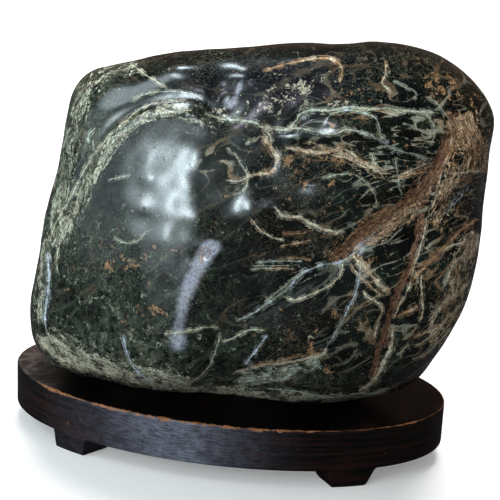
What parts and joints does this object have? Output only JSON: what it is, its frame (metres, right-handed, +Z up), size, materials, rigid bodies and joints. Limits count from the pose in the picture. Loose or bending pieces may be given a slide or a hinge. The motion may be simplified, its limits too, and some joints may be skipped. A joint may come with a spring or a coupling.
{
  "type": "scholar's rock on a stand",
  "caption": "Polished dark green-black veined boulder resting in a shallow seat on a low oval hardwood stand with short bracket feet.",
  "frame": {"origin": "middle of the whole object's box at the floor, under the feet", "axes": "+X along the stand's length, to the right as one faces the stone's broad front; +Y to the back; +Z up"},
  "size_m": [0.2592, 0.1546, 0.2342],
  "materials": {
    "stone": "polished",
    "lacquered_wood": "worn lacquer"
  },
  "bodies": {
    "root": {"rock": "stone", "stand": "lacquered_wood"}
  },
  "joints": []
}
